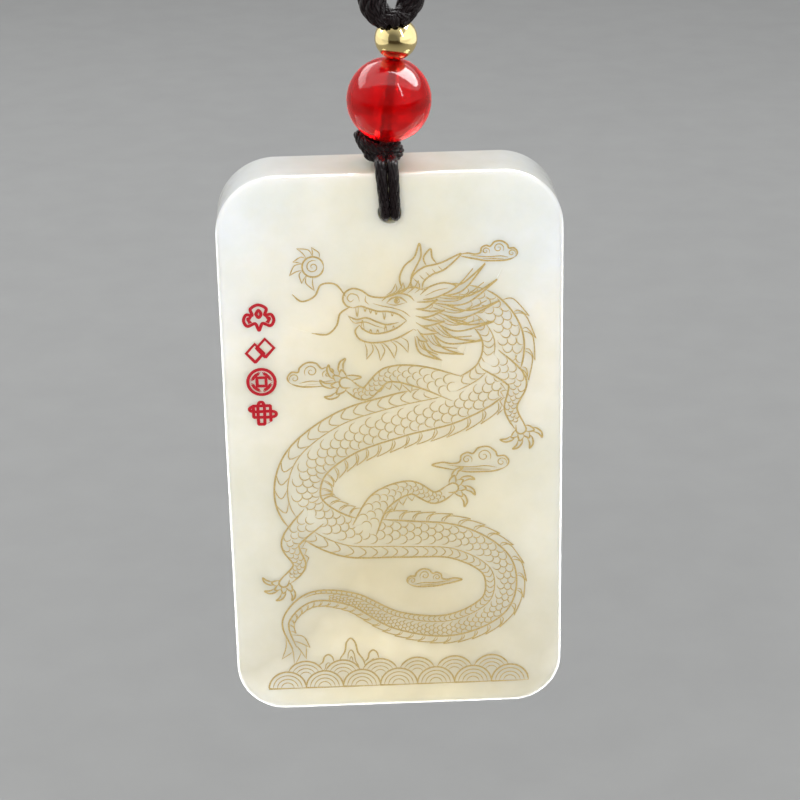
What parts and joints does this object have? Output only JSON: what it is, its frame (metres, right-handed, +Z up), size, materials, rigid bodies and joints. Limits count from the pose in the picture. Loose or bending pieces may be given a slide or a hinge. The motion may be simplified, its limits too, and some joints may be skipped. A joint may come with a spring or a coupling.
{
  "type": "jade plaque pendant on a braided neck cord",
  "caption": "Flat rounded jade plaque hung by two cords from a red bead, a gold bead and a braided black neck cord that forms one whole loop.",
  "frame": {"origin": "the neck cord's centre line at the nape, where the loop hangs from the back of the neck", "axes": "+Z up, -Y out of the plaque's front face, +X to the viewer's right"},
  "size_m": [0.135, 0.1561, 0.261],
  "materials": {
    "jade": "waxy polish",
    "satin_cord": "satin",
    "bead_thread": "matt",
    "red_glass": "polished",
    "gold": "polished",
    "braided_cord": "satin",
    "red_fill": "paint in shallow carving"
  },
  "bodies": {
    "cord": {"neck_cord": "braided_cord", "top_knot": "satin_cord", "gold_bead": "gold", "red_bead": "red_glass", "core_thread": "bead_thread", "lower_knot": "satin_cord", "bail_left": "satin_cord", "bail_right": "satin_cord"},
    "plaque": {"jade_plaque": "jade"}
  },
  "joints": [
    {"name": "plaque_swing", "type": "hinge", "parent": "cord", "child": "plaque", "pos_m": [-0.00086, -0.15, -0.20638], "axis": [0, 1, 0], "range_deg": [-10, 10]}
  ]
}
